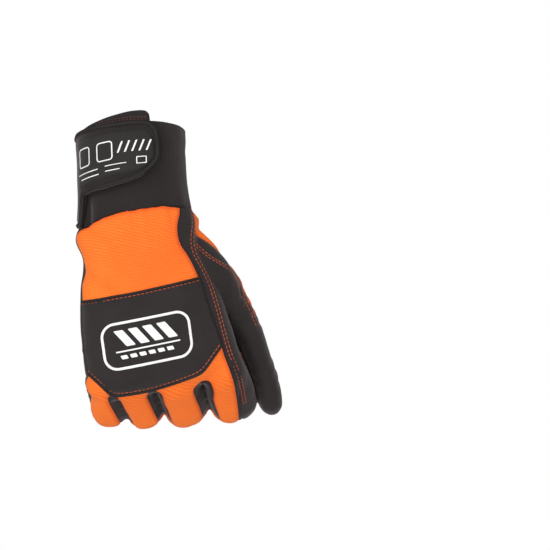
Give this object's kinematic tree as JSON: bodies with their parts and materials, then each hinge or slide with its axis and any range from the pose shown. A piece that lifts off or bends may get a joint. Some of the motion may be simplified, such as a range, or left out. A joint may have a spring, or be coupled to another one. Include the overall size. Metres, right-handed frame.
{
  "type": "chainsaw glove",
  "caption": "Right-hand chainsaw work glove shown worn: fingers curled, thumb along the side, padded knuckle panel, embossed palm grips and a strapped wrist cuff.",
  "frame": {"origin": "centre of the cuff's open mouth, where the wrist goes in", "axes": "+Z out of the cuff's mouth along the cuff, -Z down towards the fingers, -Y out of the back of the hand, +Y the palm side, +X the thumb side"},
  "size_m": [0.1397, 0.1377, 0.2096],
  "materials": {
    "orange_fabric": "matte ribbed stretch fabric, bright orange",
    "black_fabric": "matte woven stretch fabric, warm black",
    "black_leather": "matte synthetic suede, black",
    "grip_leather": "embossed synthetic leather, black, low sheen",
    "cuff_fabric": "fine knitted fabric, warm black",
    "label_print": "matte label field, warm black with pale printed marks"
  },
  "bodies": {
    "root": {"cuff": "cuff_fabric", "cuff_flap": "cuff_fabric", "wrist_strap": "cuff_fabric", "strap_label": "label_print", "thumb_back_panel": "orange_fabric", "back_panel": "orange_fabric", "index_back": "orange_fabric", "middle_back": "orange_fabric", "ring_back": "orange_fabric", "little_back": "orange_fabric", "index_tip_cap": "black_leather", "middle_tip_cap": "black_leather", "ring_tip_cap": "black_leather", "little_tip_cap": "black_leather", "thumb_panel": "black_fabric", "index_side_strip": "black_fabric", "index_middle_gusset": "black_fabric", "middle_ring_gusset": "black_fabric", "ring_little_gusset": "black_fabric", "index_front": "black_leather", "middle_front": "black_leather", "ring_front": "black_leather", "little_front": "black_leather", "palm_panel": "black_leather", "back_patch": "black_fabric", "heel_grip": "grip_leather", "thenar_grip": "grip_leather", "thumb_grip": "grip_leather"}
  },
  "joints": []
}
